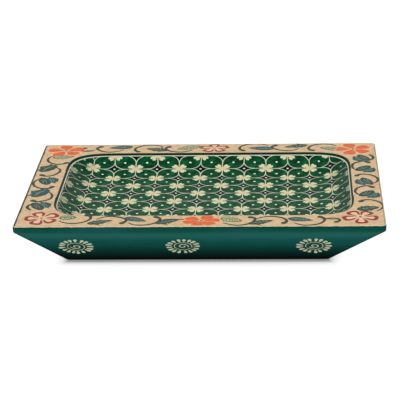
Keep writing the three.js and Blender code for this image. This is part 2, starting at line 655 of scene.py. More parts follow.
def dress(thing: Thing, *finishes: Material) -> None:
    """Gives an object these finishes and no others."""
    thing.data.materials.clear()
    for finish in finishes:
        thing.data.materials.append(finish)


def hand_over(piece: Thing, name: str, replaced: Sequence[str] = ()) -> Thing:
    """Names a finished piece, rides it on the tray and hides the frame's nodes that it stands for.

    Args:
        piece: the finished object.
        name: its name.
        replaced: the frame's nodes that it stands for.

    Returns:
        The same object.
    """
    piece.name = name
    piece.data.name = name
    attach(piece, PIECE_BODY)
    if replaced:
        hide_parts(*replaced)
    log.info("%s: %d faces", name, len(piece.data.polygons))
    return piece


# ------------------------------------------------------------------ the carved boards


class Zone(Enum):
    """The finishes of a board, in the order of its material slots."""

    RIM = 0
    RECESS = 1
    SIDE = 2
    UNDERSIDE = 3
    JOINT = 4


@dataclass
class CarvedBoards:
    """Three boards, pegged and glued, then carved as one block and dyed.

    The rim's top lies lower than the frame's by the room for paint, so that the paint on it
    stays inside. The wall starts level, rises as a power of the way out, and its map is
    gathered past its level length. The sizes of the recess follow the frame's.
    """

    low: Vector
    high: Vector
    base_low: Vector
    base_high: Vector
    rim_left: float = 22.4
    rim_right: float = 20.0
    rim_front: float = 20.8
    rim_back: float = 20.8
    dish_depth: float = 12.0
    wall_run: float = 38.0
    wall_power: float = 3.0
    level_share: float = 0.1
    corner_power: float = 3.4
    corner_radius: float = 3.0
    upright_edge: float = 4.5
    paint_room: float = 0.12
    arris: float = 0.8
    glue_lines: tuple = (-26.0, 30.0)
    glue_gap: float = 0.06
    hole_radius: float = 4.3
    hole_depth: float = 30.6
    gathering: float = 0.3
    level_length: float = 10.5
    corner_steps: int = 20
    wall_steps: int = 18
    arris_steps: int = 5
    holes: list = field(default_factory=list)

    @property
    def top(self) -> float:
        """Height of the rim's face."""
        return self.high.z - self.paint_room

    @property
    def recess_low(self) -> Vector:
        """Front left corner of the recess's edge."""
        return Vector((self.low.x + self.rim_left, self.low.y + self.rim_front))

    @property
    def recess_high(self) -> Vector:
        """Back right corner of the recess's edge."""
        return Vector((self.high.x - self.rim_right, self.high.y - self.rim_back))

    def off_floor(self, x: float, y: float) -> tuple[Vector, Vector]:
        """Parts a place into the nearest point of the level middle and the way from it."""
        run = self.wall_run
        near_x = min(max(x, self.recess_low.x + run), self.recess_high.x - run)
        near_y = min(max(y, self.recess_low.y + run), self.recess_high.y - run)
        near = Vector((near_x, near_y))
        return near, Vector((x, y)) - near

    def out(self, x: float, y: float) -> float:
        """How far out a place lies, from 0 over the level middle to 1 on the recess's edge."""
        _, way = self.off_floor(x, y)
        power = self.corner_power
        return (abs(way.x) ** power + abs(way.y) ** power) ** (1 / power) / self.wall_run

    def rise(self, out: float) -> float:
        """Height over the recess's floor at a place that far out, eased over at the rim."""
        share = max((out - self.level_share) / (1 - self.level_share), 0)
        wall = self.dish_depth * share**self.wall_power
        lead = min(max(0.5 + 0.5 * (wall - self.dish_depth) / self.arris, 0), 1)
        return wall + (self.dish_depth - wall) * lead - self.arris * lead * (1 - lead)

    def arc_length(self, out: float, steps: int = 48) -> float:
        """Length of the wall's curve from the level middle to a place that far out."""
        reach = min(out, 1.0)
        places = [reach * step / steps for step in range(steps + 1)]
        inside = sum(
            math.hypot((b - a) * self.wall_run, self.rise(b) - self.rise(a))
            for a, b in zip(places, places[1:])
        )
        return inside + max(out - 1, 0) * self.wall_run

    def build(self, finishes: Sequence[Material]) -> list[Thing]:
        """Carves the block, saws it at the glue lines and bores it.

        Args:
            finishes: the materials, in the order of Zone.

        Returns:
            The front, middle and back boards.
        """
        block = self.carve()
        front, back = self.glue_lines
        half = self.glue_gap / 2
        stretches = {
            "front_board": (None, front - half),
            "middle_board": (front + half, back - half),
            "back_board": (back + half, None),
        }
        boards = []
        for name, (start, end) in stretches.items():
            board = self.saw(block, start, end)
            self.bore(board, start, end)
            self.unroll(board)
            dress(board, *finishes)
            for face in board.data.polygons:
                face.material_index = self.zone(face.center / MM, face.normal).value
            smooth_faces(board)
            boards.append(hand_over(board, f"carved_{name}", [name]))
        bpy.data.objects.remove(block)
        return boards

    def carve(self) -> Thing:
        """Carves the whole block from two rounded outlines.

        Returns:
            The closed block.
        """
        put_down()
        bpy.ops.mesh.primitive_plane_add(size=1, location=(0, 0, 0))
        block = bpy.context.object
        edit(block)
        eased = Vector((self.arris, self.arris))
        self.shape_outline(
            self.recess_low - eased,
            self.recess_high + eased,
            self.wall_run + self.arris,
            self.corner_power,
        )
        self.sink_recess(block)
        select_points(block, lambda vertex: abs(vertex.co.z - self.top * MM) < 1e-6)
        bpy.ops.mesh.delete(type="ONLY_FACE")
        bpy.ops.mesh.primitive_plane_add(size=1, location=(0, 0, 0))
        softened = self.corner_radius - self.arris
        self.shape_outline(self.low.xy + eased, self.high.xy - eased, softened, 2.0)
        bpy.ops.mesh.delete(type="ONLY_FACE")
        select_open_edges(block, self.top * MM)
        bpy.ops.mesh.fill(use_beauty=True)
        self.flare_sides(block)
        bpy.ops.mesh.select_all(action="SELECT")
        bpy.ops.mesh.remove_doubles(threshold=1e-7)
        ease_edges(25, self.arris, 4)
        put_down()
        return block

    def shape_outline(self, low: Vector, high: Vector, radius: float, power: float) -> None:
        """Stretches the selected unit square to a rectangle and rounds its corners.

        Args:
            low: the rectangle's front left corner.
            high: its back right corner.
            radius: how far its corners are rounded.
            power: 2 for circular corners, more for squarer ones.
        """
        size = (high - low) * MM
        middle = (high + low) / 2 * MM
        bpy.ops.transform.resize(value=(size.x, size.y, 1), center_override=(0, 0, 0))
        bpy.ops.transform.translate(value=(middle.x, middle.y, self.top * MM))
        bpy.ops.mesh.bevel(
            offset=radius * MM,
            offset_type="OFFSET",
            segments=self.corner_steps,
            profile=2 ** (-2 / power),
            affect="VERTICES",
            clamp_overlap=False,
        )

    def sink_recess(self, block: Thing) -> None:
        """Takes the recess down from its edge in steps that draw each corner in.

        Args:
            block: the block in edit mode, with the recess's outline selected.
        """
        brow = self.arris / self.wall_run
        outs = [1 + brow - 2 * brow * step / self.arris_steps for step in range(self.arris_steps)]
        outs += [
            1 - brow - (1 - brow - self.level_share) * step / self.wall_steps
            for step in range(self.wall_steps + 1)
        ]
        corners = self.corner_centres(self.recess_low, self.recess_high, self.wall_run)
        for before, after in zip(outs, outs[1:]):
            drop = self.rise(after) - self.rise(before)
            self.next_ring(block, corners, after / before, drop)

    @staticmethod
    def corner_centres(low: Vector, high: Vector, radius: float) -> list[Vector]:
        """The centres of a rounded rectangle's four corners."""
        return [
            Vector((x, y))
            for x in (low.x + radius, high.x - radius)
            for y in (low.y + radius, high.y - radius)
        ]

    def next_ring(self, block: Thing, corners: list[Vector], share: float, drop: float) -> None:
        """Extrudes the selected ring and scales each corner of it about its centre.

        Args:
            block: the block in edit mode.
            corners: the corners' centres.
            share: the new distance from them over the old one.
            drop: how far the ring moves up, in millimetres.
        """
        bpy.ops.mesh.extrude_region_move(TRANSFORM_OT_translate={"value": (0, 0, drop * MM)})
        mesh = bmesh.from_edit_mesh(block.data)
        mesh.verts.index_update()
        ring = {vertex.index for vertex in mesh.verts if vertex.select}
        for corner in corners:
            self.draw_in(block, ring, corner, share)
        select_points(block, lambda vertex: vertex.index in ring)

    def draw_in(self, block: Thing, ring: set[int], corner: Vector, share: float) -> None:
        """Scales the points of one corner of a ring about the corner's centre.

        Args:
            block: the block in edit mode.
            ring: the ring's vertices, by number.
            corner: the corner's centre.
            share: the new distance over the old one.
        """
        middle = (self.recess_low + self.recess_high) / 2
        away = corner - middle

        def in_corner(vertex: bmesh.types.BMVert) -> bool:
            """Whether a vertex of the ring lies in this quarter of it."""
            if vertex.index not in ring:
                return False
            place = vertex.co.xy / MM - middle
            return place.x * away.x > 0 and place.y * away.y > 0

        select_points(block, in_corner)
        centre = (corner.x * MM, corner.y * MM, 0)
        bpy.ops.transform.resize(value=(share, share, 1), center_override=centre)

    def flare_sides(self, block: Thing) -> None:
        """Takes the outer outline down the upright edge and in to the base, and closes it.

        Args:
            block: the block in edit mode.
        """
        select_open_edges(block, self.top * MM)
        corners = self.corner_centres(self.low, self.high, self.corner_radius)
        turns = [math.pi / 2 * step / self.arris_steps for step in range(self.arris_steps + 1)]
        radii = [self.corner_radius - self.arris * (1 - math.sin(turn)) for turn in turns]
        drops = [self.arris * (math.cos(turn) - 1) for turn in turns]
        for step in range(self.arris_steps):
            share = radii[step + 1] / radii[step]
            self.next_ring(block, corners, share, drops[step + 1] - drops[step])
        band_foot = self.high.z - self.upright_edge
        self.next_ring(block, corners, 1.0, band_foot - self.top + self.arris)
        down = (0, 0, (self.base_low.z - band_foot) * MM)
        bpy.ops.mesh.extrude_region_move(TRANSFORM_OT_translate={"value": down})
        outer = self.high - self.low
        base = self.base_high - self.base_low
        narrower = (base.x / outer.x, base.y / outer.y, 1)
        bpy.ops.transform.resize(value=narrower, center_override=(0, 0, 0))
        shift = (self.base_low + self.base_high) / 2
        bpy.ops.transform.translate(value=(shift.x * MM, shift.y * MM, 0))
        bpy.ops.mesh.edge_face_add()

    def saw(self, block: Thing, start: float | None, end: float | None) -> Thing:
        """Cuts one board out of a copy of the block.

        Args:
            block: the carved block.
            start: the board's front face, or None at the front of the tray.
            end: its back face, or None at the back of the tray.

        Returns:
            The board, closed.
        """
        pick_up(block)
        bpy.ops.object.duplicate()
        board = bpy.context.object
        edit(board)
        for line, keeps_back in ((start, True), (end, False)):
            if line is None:
                continue
            bpy.ops.mesh.select_all(action="SELECT")
            bpy.ops.mesh.bisect(
                plane_co=(0, line * MM, 0),
                plane_no=(0, 1, 0),
                use_fill=True,
                clear_inner=keeps_back,
                clear_outer=not keeps_back,
            )
        put_down()
        return board

    def bore(self, board: Thing, start: float | None, end: float | None) -> None:
        """Bores the peg holes that open in the board's joint faces.

        Args:
            board: the board.
            start: its front face, or None.
            end: its back face, or None.
        """
        for centre in self.holes:
            if not any(line is not None and abs(line - centre.y) < 1 for line in (start, end)):
                continue
            put_down()
            bpy.ops.mesh.primitive_cylinder_add(
                vertices=32,
                radius=self.hole_radius * MM,
                depth=self.hole_depth * MM,
                location=centre * MM,
                rotation=(math.pi / 2, 0, 0),
            )
            drill = bpy.context.object
            use_modifier(board, "BOOLEAN", operation="DIFFERENCE", object=drill, solver="EXACT")
            bpy.data.objects.remove(drill)

    def zone(self, centre: Vector, normal: Vector) -> Zone:
        """Says which finish a face gets.

        Args:
            centre: the face's middle in millimetres.
            normal: its outward direction.

        Returns:
            The zone.
        """
        spare, level, brow = 0.1, 0.97, 1.05
        at_joint = min(abs(centre.y - line) for line in self.glue_lines) < self.glue_gap
        in_hole = any(
            math.hypot(centre.x - hole.x, centre.z - hole.z) < self.hole_radius + spare
            and abs(centre.y - hole.y) < self.hole_depth / 2 + spare
            for hole in self.holes
        )
        out = self.out(centre.x, centre.y)
        if in_hole or (at_joint and abs(normal.y) > 0.99):
            return Zone.JOINT
        if out < 1 and normal.z > 0:
            return Zone.RECESS
        if normal.z > level or (normal.z > 0 and out < brow):
            return Zone.RIM
        return Zone.UNDERSIDE if normal.z < -level else Zone.SIDE

    def unroll(self, board: Thing) -> None:
        """Unrolls the recess into a flat map and keeps each point's depth below its edge.

        The map is drawn longer up the front and back walls, so that what is drawn on it
        gathers there.

        Args:
            board: the board.
        """
        mesh = board.data
        for layer in list(mesh.uv_layers):
            mesh.uv_layers.remove(layer)
        unrolled = mesh.uv_layers.new(name="unrolled")
        below = mesh.attributes.new("below_edge", "FLOAT", "POINT")
        whole = self.arc_length(1.0)
        flat = []
        for vertex in mesh.vertices:
            x, y = vertex.co.x / MM, vertex.co.y / MM
            near, way = self.off_floor(x, y)
            out = self.out(x, y)
            length = self.arc_length(out)
            drawn = length + self.gathering * max(length - self.level_length, 0)
            spread = 1 / (out * self.wall_run) if out > 1e-6 else 0.0
            flat.append(near + Vector((way.x * length, way.y * drawn)) * spread)
            below.data[vertex.index].value = whole - length
        for loop in mesh.loops:
            unrolled.data[loop.index].uv = flat[loop.vertex_index]


# ------------------------------------------------------------------ pegs and felt


@dataclass
class Pegs:
    """The bamboo pegs, which keep the frame's own shape."""

    names: tuple = ("front_left_peg", "front_right_peg", "back_left_peg", "back_right_peg")

    def build(self, nodes: dict, bamboo: Material) -> None:
        """Dresses the four pegs.

        Args:
            nodes: the frame's nodes by name.
            bamboo: their finish.
        """
        for name in self.names:
            dress(nodes[name], bamboo)
            log.info("%s: %d faces", name, len(nodes[name].data.polygons))


@dataclass
class BaseFelt:
    """A thin sheet of felt glued under the base."""

    low: Vector
    high: Vector
    corner_radius: float = 2.0
    soft_edge: float = 0.35

    def build(self, wool: Material) -> Thing:
        """Cuts the sheet, gives it its thickness and softens its edges.

        Args:
            wool: its finish.

        Returns:
            The sheet.
        """
        size = (self.high - self.low) * MM
        middle = (self.high + self.low) / 2 * MM
        put_down()
        bpy.ops.mesh.primitive_plane_add(size=1, location=(middle.x, middle.y, 0))
        felt = bpy.context.object
        felt.scale = (size.x, size.y, 1)
        bpy.ops.object.transform_apply(location=True, rotation=True, scale=True)
        edit(felt)
        bpy.ops.mesh.bevel(offset=self.corner_radius * MM, segments=6, affect="VERTICES")
        bpy.ops.mesh.extrude_region_move(TRANSFORM_OT_translate={"value": (0, 0, size.z)})
        ease_edges(60, self.soft_edge, 3)
        smooth_faces(felt)
        dress(felt, wool)
        return hand_over(felt, "felt_sheet", ["base_felt"])


# ------------------------------------------------------------------ brush outlines


def smooth(points: Sequence[Sequence[float]], closed: bool = False, steps: int = 6) -> list[Vector]:
    """Draws a smooth line through points.

    Args:
        points: the points, each of any one number of values.
        closed: whether the line comes back to its start.
        steps: how many short pieces each stretch gets.

    Returns:
        The line's points; an open line ends on its last point.
    """
    count = len(points)
    given = [Vector(point) for point in points]

    def at(place: int) -> Vector:
        """A point by its number, held at the ends of an open line."""
        return given[place % count] if closed else given[min(max(place, 0), count - 1)]

    line = []
    for place in range(count if closed else count - 1):
        a, b, c, d = (at(place + offset) for offset in (-1, 0, 1, 2))
        for step in range(steps):
            t = step / steps
            line.append(
                b
                + (c - a) * (0.5 * t)
                + (a * 2 - b * 5 + c * 4 - d) * (0.5 * t * t)
                + (b * 3 - a - c * 3 + d) * (0.5 * t**3)
            )
    if not closed:
        line.append(given[-1])
    return line


def stroke(route: Sequence[tuple[float, float, float]], steps: int = 6, cap: int = 4) -> Outline:
    """The outline of one pull of a round brush.

    Args:
        route: points with the brush's width at each.
        steps: how many short pieces each stretch gets.
        cap: how many pieces each round end gets.

    Returns:
        The closed outline.
    """
    line = smooth(route, steps=steps)
    left, right = [], []
    for place, point in enumerate(line):
        before = line[max(place - 1, 0)].xy
        after = line[min(place + 1, len(line) - 1)].xy
        way = (after - before).normalized()
        side = Vector((-way.y, way.x)) * (point.z / 2)
        left.append(point.xy + side)
        right.append(point.xy - side)

    def end_cap(start: Vector, end: Vector) -> list[Vector]:
        """Points half round from one side of the brush to the other."""
        middle = (start + end) / 2
        arm = start - middle
        return [
            middle + Matrix.Rotation(-math.pi * step / cap, 2) @ arm for step in range(1, cap)
        ]

    outline = left + end_cap(left[-1], right[-1]) + right[::-1] + end_cap(right[0], left[0])
    return [tuple(point) for point in outline]


def leaf(length: float, width: float, teeth: int = 0, steps: int = 26) -> Outline:
    """A leaf along +X from its base at 0 to its tip, with toothed margins.

    Args:
        length: from base to tip.
        width: across its widest part.
        teeth: how many teeth each margin has.
        steps: points along each margin.

    Returns:
        The closed outline.
    """
    bite_depth = 0.28
    upper = []
    for step in range(1, steps):
        share = step / steps
        half = width / 2 * math.sin(math.pi * share**0.75) ** 0.8
        bite = (share * teeth) % 1.0 if teeth else 0.0
        upper.append((length * share, half * (1 - bite_depth * bite)))
    lower = [(x, -y) for x, y in reversed(upper)]
    return [(0.0, 0.0), *upper, (length, 0.0), *lower]


def disc(radius: float, sides: int = 14) -> Outline:
    """A round dab of paint."""
    turns = [2 * math.pi * side / sides for side in range(sides)]
    return [(radius * math.cos(turn), radius * math.sin(turn)) for turn in turns]


def tulip(length: float, width: float) -> Outline:
    """A cupped bud along +X with three prongs at its mouth.

    Args:
        length: from base to the middle prong's tip.
        width: across its belly.

    Returns:
        The closed outline.
    """
    half = width / 2
    upper = [
        (0.0, 0.0),
        (0.08, 0.55),
        (0.25, 0.92),
        (0.45, 1.0),
        (0.6, 0.82),
        (0.78, 1.02),
        (0.74, 0.5),
        (1.0, 0.08),
    ]
    shape = [(x * length, y * half) for x, y in upper]
    shape += [(x * length, -y * half) for x, y in reversed(upper[1:])]
    return shape


def ring_line(radius: float, width: float, start: float, sweep: float, pull: float) -> Outline:
    """A stroke round a middle, drawn in as it turns.

    Args:
        radius: its distance from the middle at the start.
        width: the brush's width.
        start: its first direction, in degrees.
        sweep: how far it turns, in degrees.
        pull: how much closer to the middle it ends.

    Returns:
        The closed outline.
    """
    count = max(int(abs(sweep) / 30), 4)
    route = []
    for step in range(count + 1):
        share = step / count
        angle = math.radians(start + sweep * share)
        reach = radius - pull * share
        route.append((reach * math.cos(angle), reach * math.sin(angle), width))
    return stroke(route, steps=3)


# ------------------------------------------------------------------ painted films


class Paint(Enum):
    """The paints: each one's film, the layer it lies in, its finish and its two tones."""

    HALO = ("solid_flower_halos", 0, "halo_peach", "E2A578", "E9B98C")
    SHADE = ("sun_discs", 0, "sun_disc_green", "04302A", "073A32")
    VINE = ("vine_tendrils", 1, "vine_olive", "252F20", "384128")
    BRICK = ("outlined_petals", 1, "petal_brick", "80241F", "9C372B")
    DARK_LEAF = ("dark_leaves", 2, "dark_leaf_green", "0F3228", "1F4A3A")
    ORANGE = ("solid_petals", 2, "petal_orange", "C85020", "DF733A")
    WAX = ("side_suns", 2, "wax_cream", "97A388", "B9BC9C")
    PALE_LEAF = ("pale_leaves", 3, "pale_leaf_sage", "93A077", "B4B88E")
    TEAL_LEAF = ("teal_leaves", 3, "teal_leaf", "0F3E42", "215A57")
    PINK = ("petal_fills", 3, "petal_pink", "DDB18C", "E7C49E")
    VEIN = ("leaf_veins", 4, "vein_light", "7B947C", "98AA8A")
    PALE_RIB = ("pale_leaf_ribs", 4, "pale_rib_green", "2E4A38", "435B42")
    CENTRE = ("flower_centres", 4, "centre_umber", "4E4524", "6A5B30")

    def __init__(self, film: str, layer: int, finish: str, thick: str, thin: str) -> None:
        """Names the parts of each row; the tones are the paint laid thick and run dry."""
        self.film = film
        self.layer = layer
        self.finish = finish
        self.stops = ((0.35, thick), (0.7, thin))


@dataclass(kw_only=True)
class Painting:
    """Gathers outlines by paint and lays each paint down as one thin film.

    Each film starts a little way inside the wood and ends a few hundredths over it, and a
    later layer ends higher, so that no two faces coincide. A brush that runs past the reach
    is held at it, as paint ends at an arris.
    """

    specular: float = 0.1
    first_layer: float = 0.025
    next_layer: float = 0.017
    sunk: float = 0.03
    stagger: float = 0.002
    stagger_steps: int = 6
    reach: Point = (1e3, 1e3)
    shapes: dict = field(default_factory=lambda: defaultdict(list))

    def add(self, paint: Paint, outline: Outline, place: Matrix) -> None:
        """Keeps an outline with where its flat frame lies."""
        self.shapes[paint].append((outline, place))

    def pull(self, paint: Paint, route: Sequence[Sequence[float]], place: Matrix) -> None:
        """Keeps one pull of a round brush, given as points with the brush's width."""
        self.add(paint, stroke(route), place)

    def lay(self) -> list[Thing]:
        """Makes one film for each paint.

        Returns:
            The films.
        """
        films = []
        for paint, shapes in self.shapes.items():
            height = self.first_layer + self.next_layer * paint.layer
            flats = []
            for number, (outline, place) in enumerate(shapes):
                lift = height + self.stagger * (number % self.stagger_steps)
                flats.append(self.cut(outline, place, lift))
            film = pick_up(*flats)
            bpy.ops.object.join()
            finish = BrushedPaint(name=paint.finish, stops=paint.stops, specular=self.specular)
            dress(film, finish.make())
            thickness = (height + self.sunk) * MM
            use_modifier(film, "SOLIDIFY", thickness=thickness, offset=-1.0)
            films.append(hand_over(film, paint.film))
        return films

    def cut(self, outline: Outline, place: Matrix, lift: float) -> Thing:
        """Shapes one flat patch of paint.

        Args:
            outline: its outline.
            place: where its flat frame lies, in millimetres.
            lift: how far over the wood it lies.

        Returns:
            The patch, facing away from the wood.
        """
        put_down()
        bpy.ops.mesh.primitive_circle_add(vertices=len(outline), radius=MM, fill_type="NGON")
        patch = bpy.context.object
        for vertex, (x, y) in zip(patch.data.vertices, outline):
            point = place @ Vector((x, y, lift))
            point.x = min(max(point.x, -self.reach[0]), self.reach[0])
            point.y = min(max(point.y, -self.reach[1]), self.reach[1])
            vertex.co = point * MM
        patch.data.update()
        if patch.data.polygons[0].normal.dot(place.to_3x3() @ Vector((0, 0, 1))) < 0:
            patch.data.flip_normals()
        return patch


class Kind(Enum):
    """The leaves of the vine."""

    PALE = "pale"
    DARK = "dark"
    TEAL = "teal"
    BUD = "bud"
    TEAL_BUD = "teal_bud"
    PAIR = "pair"
    BLADE = "blade"


class Curl(Enum):
    """The tendrils, as points with the brush's width.

    A tendril passes its leaf on the outside or the inside, stops short or hooks back, and is
    placed from the leaf's middle. A plain stem is placed from the leaf's base.
    """

    OUTSIDE = (
        (-4.5, -6.0, 0.8),
        (-0.5, -9.3, 1.3),
        (5.0, -10.6, 1.6),
        (11.5, -8.6, 1.7),
        (15.8, -3.6, 1.7),
        (16.0, 1.6, 2.0),
        (13.2, 4.4, 3.4),
    )
    INSIDE = (
        (-2.5, 5.6, 0.8),
        (1.2, 8.8, 1.3),
        (6.5, 10.3, 1.6),
        (12.5, 9.0, 1.8),
        (16.6, 5.2, 1.8),
        (17.6, 1.2, 2.0),
        (15.2, -2.2, 3.4),
    )
    SHORT = ((-5.0, -5.0, 0.9), (-1.0, -8.6, 1.7), (4.0, -9.4, 2.0), (8.0, -7.0, 1.6))
    HOOK = (
        (-4.0, 1.8, 0.8),
        (1.0, 2.6, 1.4),
        (4.8, 1.0, 1.8),
        (5.4, -2.6, 1.9),
        (2.6, -4.6, 3.0),
    )
    STEM = ((3.5, 6.0, 0.8), (9.0, 7.6, 1.5), (19.0, 7.2, 1.2))


@dataclass(frozen=True)
class Leaf:
    """One leaf of the vine with its tendril, in a side's own frame.

    The frame runs along the side in the vine's direction, from the side's middle, and inward
    from the middle of the rim's face.
    """

    kind: Kind
    base: Point
    tip: Point
    curl: Curl
    width: float

    @property
    def way(self) -> Vector:
        """The way from its base to its tip."""
        return Vector(self.tip) - Vector(self.base)


class Look(Enum):
    """How a flower is painted."""

    OUTLINED = "outlined"
    SOLID = "solid"


@dataclass(frozen=True)
class Flower:
    """A flower on the rim, in the tray's own frame, with its petals' directions in degrees."""

    look: Look
    middle: Point
    turns: tuple
    reach: float = 12.4
    squash: float = 1.0


@dataclass(kw_only=True)
class RimVine(Painting):
    """The vine painted round the rim, with its leaves, tendrils and flowers.

    It runs from the back left corner to the front, along the front to the right and so on
    round, so each side has the same frame turned by a quarter. Veins are stated as shares of
    a leaf's length, with a bar's half width as a share of the leaf's width. A petal is stated
    by the half widths along it, as shares of the flower's reach and its widest half width.
    """

    surface: float
    lines: dict
    chance: random.Random = field(default_factory=lambda: random.Random(11))
    wander: Point = (0.4, 0.3)
    tendril_weight: float = 1.12
    side_veins: tuple = (0.28, 0.42, 0.56, 0.7)
    pair_bars: tuple = ((0.2, 0.26), (0.34, 0.36), (0.6, 0.32), (0.74, 0.26))
    petal_share: float = 0.345
    petal_body: tuple = ((0.17, 0.1), (0.36, 0.58), (0.6, 0.98), (0.83, 1.0), (0.97, 0.55))
    petal_fill: tuple = ((-0.06, 0.16), (0.36, 0.3), (0.58, 0.5), (0.71, 0.47), (0.77, 0.22))
    ring_radius: float = 2.3
    centre_radius: float = 1.1

    left: tuple = (
        Leaf(Kind.PALE, (-56.0, -2.0), (-58.0, 13.0), Curl.OUTSIDE, 8.0),
        Leaf(Kind.BUD, (-29.0, 2.2), (-36.0, -8.2), Curl.INSIDE, 17.6),
        Leaf(Kind.PAIR, (-2.6, -4.8), (-8.6, 8.4), Curl.OUTSIDE, 14.6),
        Leaf(Kind.TEAL_BUD, (23.2, 3.8), (16.2, -7.8), Curl.INSIDE, 18.0),
        Leaf(Kind.PAIR, (48.6, -2.8), (41.6, 9.4), Curl.SHORT, 14.6),
    )
    front: tuple = (
        Leaf(Kind.PALE, (-95.0, 6.6), (-84.5, 7.2), Curl.OUTSIDE, 9.0),
        Leaf(Kind.DARK, (-75.0, -4.9), (-58.5, 1.9), Curl.INSIDE, 8.2),
        Leaf(Kind.TEAL, (-50.5, 6.4), (-35.5, -0.4), Curl.OUTSIDE, 7.6),
        Leaf(Kind.DARK, (-29.5, -4.6), (-13.5, 2.0), Curl.STEM, 8.2),
        Leaf(Kind.PALE, (14.5, 5.0), (28.0, -0.5), Curl.OUTSIDE, 9.2),
        Leaf(Kind.DARK, (33.0, -6.0), (50.0, 0.5), Curl.INSIDE, 8.2),
        Leaf(Kind.TEAL, (59.5, 3.6), (76.5, 0.2), Curl.OUTSIDE, 7.6),
        Leaf(Kind.BLADE, (86.0, 1.8), (92.0, 1.0), Curl.HOOK, 0.0),
    )
    right: tuple = (
        Leaf(Kind.DARK, (-55.5, 8.6), (-51.0, -7.0), Curl.OUTSIDE, 10.8),
        Leaf(Kind.PAIR, (-21.5, 3.8), (-31.5, -7.6), Curl.INSIDE, 13.4),
        Leaf(Kind.PAIR, (2.2, -3.6), (-3.0, 7.8), Curl.OUTSIDE, 14.6),
        Leaf(Kind.PAIR, (31.0, 4.2), (21.0, -6.6), Curl.INSIDE, 13.4),
        Leaf(Kind.PAIR, (53.0, -3.2), (47.0, 7.6), Curl.SHORT, 14.2),
    )
    back: tuple = (
        Leaf(Kind.PALE, (-97.5, 4.4), (-84.5, 0.2), Curl.OUTSIDE, 8.0),
        Leaf(Kind.DARK, (-74.0, -5.9), (-56.5, -1.2), Curl.INSIDE, 8.6),
        Leaf(Kind.TEAL, (-49.5, 2.1), (-29.5, 0.2), Curl.OUTSIDE, 8.4),
        Leaf(Kind.PALE, (6.5, -5.2), (23.0, 1.8), Curl.INSIDE, 8.2),
        Leaf(Kind.DARK, (31.0, 5.2), (47.5, -0.2), Curl.OUTSIDE, 8.6),
        Leaf(Kind.TEAL, (57.5, -4.0), (75.5, -1.6), Curl.INSIDE, 8.2),
        Leaf(Kind.BLADE, (88.0, 2.6), (94.0, 3.6), Curl.HOOK, 0.0),
    )
    flowers: tuple = (
        Flower(Look.OUTLINED, (-107.2, -69.5), (180, 108, 36, -36, -108)),
        Flower(Look.OUTLINED, (108.3, -69.4), (-90, -18, 54, 126, 198)),
        Flower(Look.OUTLINED, (4.2, 75.4), (90, 18, -54, -126, -198), 11.4, 0.8),
        Flower(Look.SOLID, (-107.4, 71.4), (166, 94, 22, -50, -122), 15.0, 0.9),
        Flower(Look.SOLID, (108.0, 71.6), (180, 105, 30, -42, -110), 15.0, 0.9),
        Flower(Look.SOLID, (1.4, -75.4), (204, 143, 64, 10, -50, -108), 14.0, 0.72),
    )

    def build(self) -> list[Thing]:
        """Paints the whole rim.

        Returns:
            The films of paint.
        """
        sides = ((self.left, -90), (self.front, 0), (self.right, 90), (self.back, 180))
        for leaves, turn in sides:
            side = self.side_frame(turn)
            for one in leaves:
                self.paint_leaf(one, side)
                self.paint_tendril(one, side)
        for flower in self.flowers:
            self.paint_flower(flower)
        return self.lay()

    def side_frame(self, turn: float) -> Matrix:
        """Where a side's own frame lies.

        Args:
            turn: the direction of the vine there, in degrees from +X.

        Returns:
            The frame, in millimetres.
        """
        quarter = Matrix.Rotation(math.radians(turn), 4, "Z")
        aside = Matrix.Translation((0, -self.lines[turn], 0))
        return Matrix.Translation((0, 0, self.surface)) @ quarter @ aside

    def jitter(self, amount: float) -> float:
        """A small random length either way."""
        return self.chance.uniform(-amount, amount)

    def paint_leaf(self, one: Leaf, side: Matrix) -> None:
        """Paints a leaf with its veins.

        Args:
            one: the leaf.
            side: the side's frame.
        """
        turn = Matrix.Rotation(math.atan2(one.way.y, one.way.x), 4, "Z")
        place = side @ Matrix.Translation((*one.base, 0)) @ turn
        if one.kind in (Kind.BUD, Kind.TEAL_BUD):
            self.paint_bud(one, place)
        elif one.kind is Kind.PAIR:
            self.paint_pair(one, place)
        elif one.kind is Kind.BLADE:
            blade = [(-4.0, 0.0, 0.5), (1.0, 1.0, 1.3), (one.way.length, 0.4, 0.5)]
            self.pull(Paint.VINE, blade, place)
        elif one.kind is Kind.PALE:
            self.paint_pale_leaf(one, place)
        else:
            self.paint_deep_leaf(one, place)

    def paint_bud(self, one: Leaf, place: Matrix) -> None:
        """Paints a cupped bud with a band across its belly and a short rib.

        Args:
            one: the bud.
            place: its frame.
        """
        length, half = one.way.length, one.width * 0.34
        paint = Paint.TEAL_LEAF if one.kind is Kind.TEAL_BUD else Paint.DARK_LEAF
        self.add(paint, tulip(length, one.width), place)
        ends, middle = length * 0.42, length * 0.5
        self.pull(Paint.VEIN, [(ends, -half, 0.5), (middle, 0.0, 0.9), (ends, half, 0.5)], place)
        self.pull(Paint.VEIN, [(length * 0.62, 0.3, 0.35), (length * 0.9, 0.0, 0.25)], place)

    def paint_pair(self, one: Leaf, place: Matrix) -> None:
        """Paints two ribbed leaves, one out of the other.

        Args:
            one: both leaves.
            place: the first one's frame.
        """
        length, width = one.way.length, one.width
        self.add(Paint.DARK_LEAF, leaf(length * 0.66, width * 1.1), place)
        ahead = place @ Matrix.Translation((length * 0.42, 0, 0))
        self.add(Paint.TEAL_LEAF, leaf(length * 0.6, width, 3), ahead)
        for share, half in self.pair_bars:
            ends, aside = length * (share - 0.06), width * half
            bar = [(ends, -aside, 0.25), (length * share, 0.0, 0.45), (ends, aside, 0.25)]
            self.pull(Paint.VEIN, bar, place)

